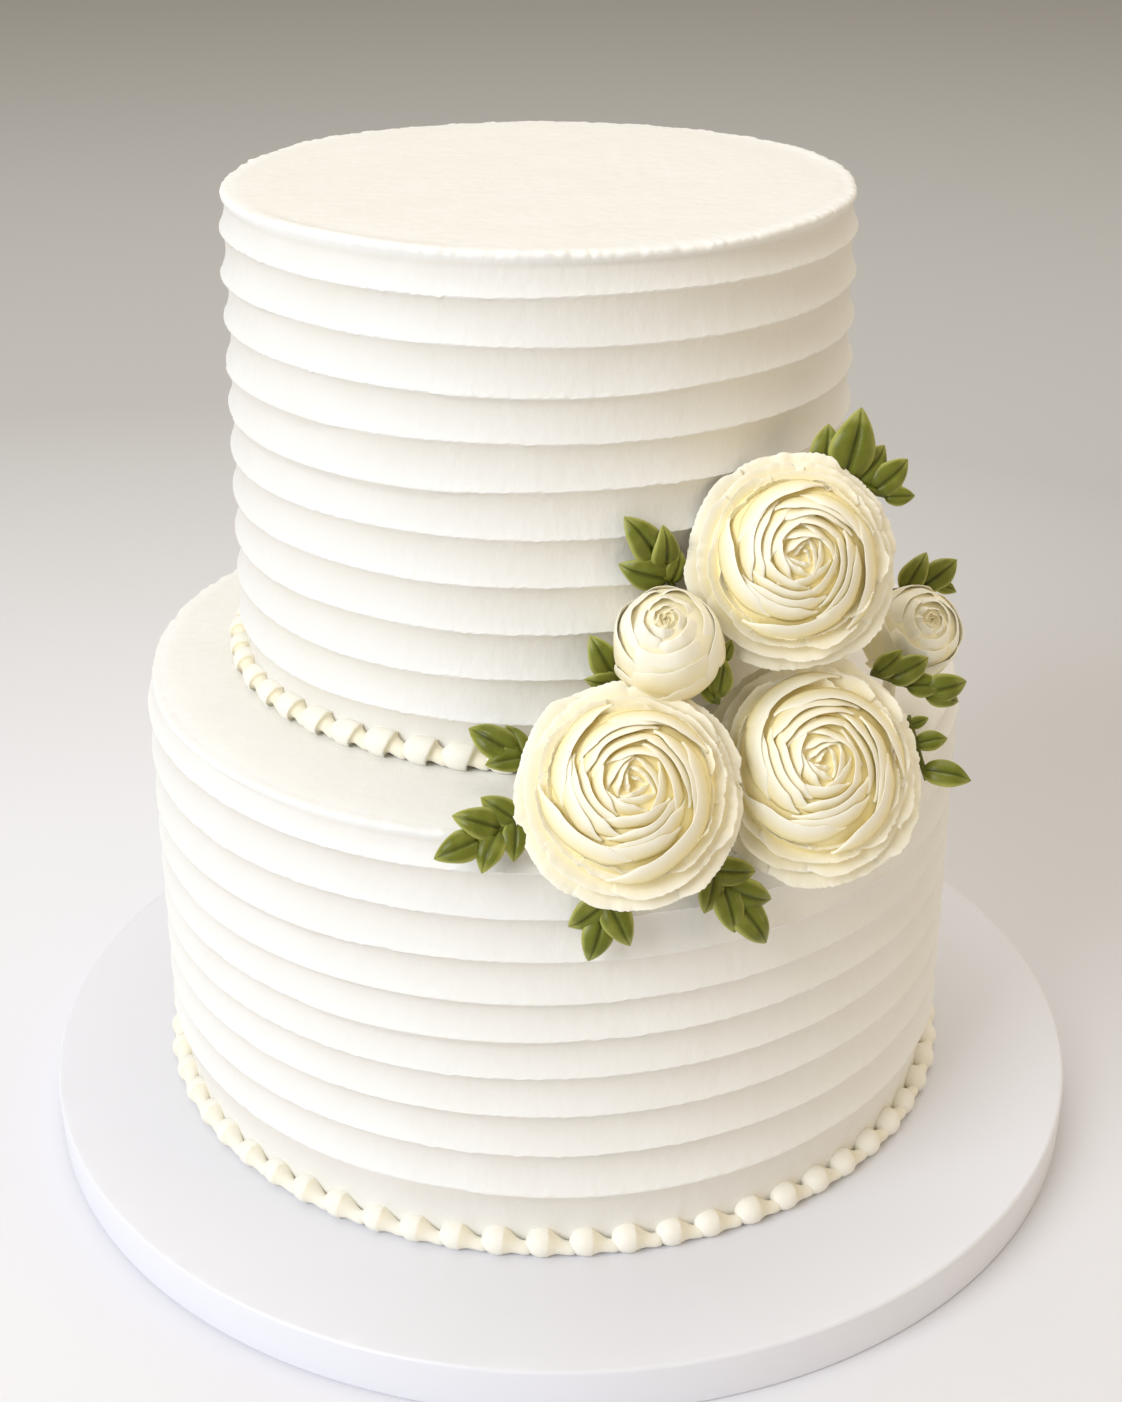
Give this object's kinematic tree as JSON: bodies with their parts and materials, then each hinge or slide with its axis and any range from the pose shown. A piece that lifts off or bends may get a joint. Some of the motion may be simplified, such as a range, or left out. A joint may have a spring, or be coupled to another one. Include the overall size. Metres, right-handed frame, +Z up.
{
  "type": "wedding cake",
  "caption": "Round tiered wedding cake on its board, with combed buttercream sides, piped bead and shell borders, and a cluster of cream flowers and buds with green leaves",
  "frame": {"origin": "middle of the board's underside, on the surface that the cake stands on", "axes": "+Z up through the tiers, -Y the front of the cake that the flowers are arranged on, +X to the right seen from the front"},
  "size_m": [0.277, 0.277, 0.2438],
  "materials": {
    "board_white": "satin white covering of a cake board",
    "buttercream": "soft matt buttercream",
    "border_cream": "piped buttercream, slightly smooth",
    "petal_cream": "thin piped ivory petals",
    "leaf_green": "olive green leaves with a slight sheen"
  },
  "bodies": {
    "root": {"board": "board_white", "lower_tier": "buttercream", "upper_tier": "buttercream", "lower_border": "border_cream", "upper_border": "border_cream", "flower_top": "petal_cream", "flower_left": "petal_cream", "flower_right": "petal_cream", "bud_left": "petal_cream", "bud_right": "petal_cream", "leaves_top_right": "leaf_green", "leaves_right": "leaf_green", "leaves_bud_right": "leaf_green", "leaves_far_right": "leaf_green", "leaves_wall": "leaf_green", "leaves_bud_left": "leaf_green", "leaves_middle": "leaf_green", "leaves_left_upper": "leaf_green", "leaves_left_lower": "leaf_green", "leaves_bottom_left": "leaf_green", "leaves_bottom_right": "leaf_green"}
  },
  "joints": []
}
